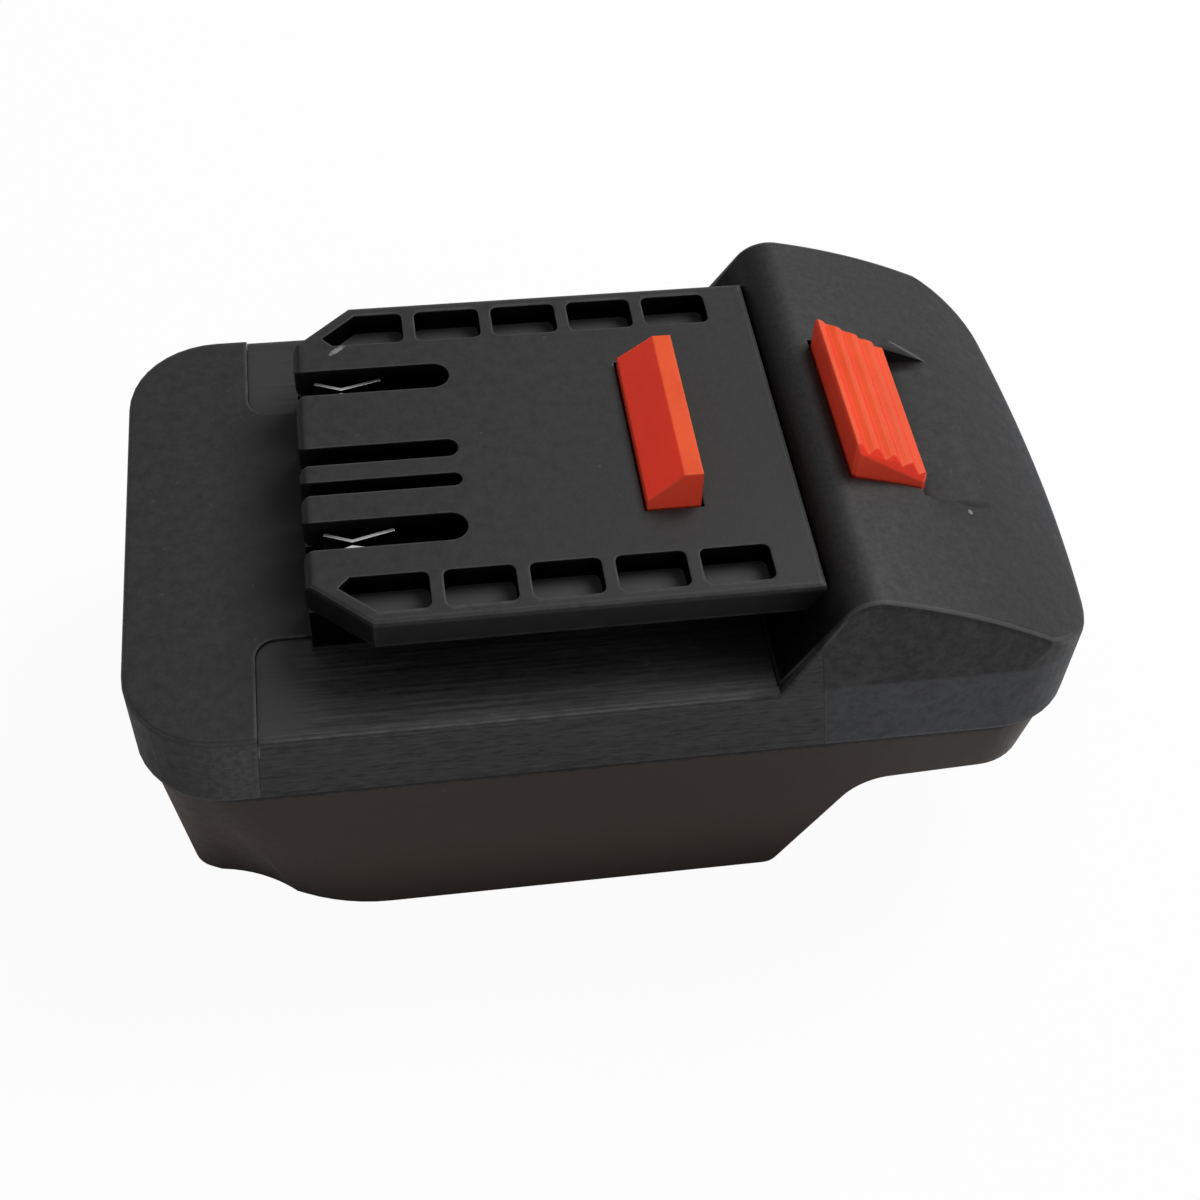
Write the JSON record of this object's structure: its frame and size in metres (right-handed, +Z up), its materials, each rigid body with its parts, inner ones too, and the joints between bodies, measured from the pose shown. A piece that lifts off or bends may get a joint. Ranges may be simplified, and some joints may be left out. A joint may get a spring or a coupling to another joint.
{
  "type": "battery adapter",
  "caption": "Slide-on battery adapter for cordless tools: rail plate with contact slots and a sprung release latch on top, open receptacle with guide rails and blades beneath.",
  "frame": {"origin": "centre of the bounding box in X and Y, on the base plane the receptacle's walls stand on", "axes": "+X along the length from the nose to the hump and the receptacle's mouth, +Y across the width, +Z up through the rail plate"},
  "size_m": [0.134, 0.076, 0.0638],
  "materials": {
    "shell": "charcoal, fine moulded grain",
    "base": "warm charcoal, smoother than the upper shell",
    "plate": "charcoal, fine grain",
    "bed": "charcoal with fine lines along the rail",
    "latch": "orange-red, satin",
    "inner": "black, glass filled",
    "spring": "drawn wire",
    "clip": "bright plated sheet",
    "blade": "plain rolled sheet",
    "guide": "plated strip",
    "screw": "dark plated",
    "insert": "turned",
    "lead_red": "insulation, smooth",
    "lead_black": "insulation, smooth"
  },
  "bodies": {
    "housing": {"upper_shell": "shell", "lower_shell": "base", "rail_plate": "plate", "rail_bed_left": "bed", "rail_bed_right": "bed", "latch_spring_left": "spring", "latch_spring_right": "spring", "spring_retainer": "inner", "retainer_screws": "screw", "tool_clip_positive": "clip", "tool_clip_negative": "clip", "clip_carrier": "inner", "carrier_screws": "screw", "plate_screws": "screw", "positive_lead": "lead_red", "negative_lead": "lead_black", "blade_block": "inner", "battery_blade_positive": "blade", "battery_blade_negative": "blade", "block_screws": "screw", "battery_rail_left": "guide", "battery_rail_right": "guide", "housing_screws": "screw", "threaded_inserts": "insert"},
    "latch": {"release_latch": "latch"}
  },
  "joints": [
    {"name": "latch_press", "type": "slide", "parent": "housing", "child": "latch", "axis": [0, 0, -1], "range_m": [0, 0.0056], "stiffness_N_per_m": 900, "springref_m": -0.003, "deforming": ["latch_spring_left", "latch_spring_right"]}
  ]
}
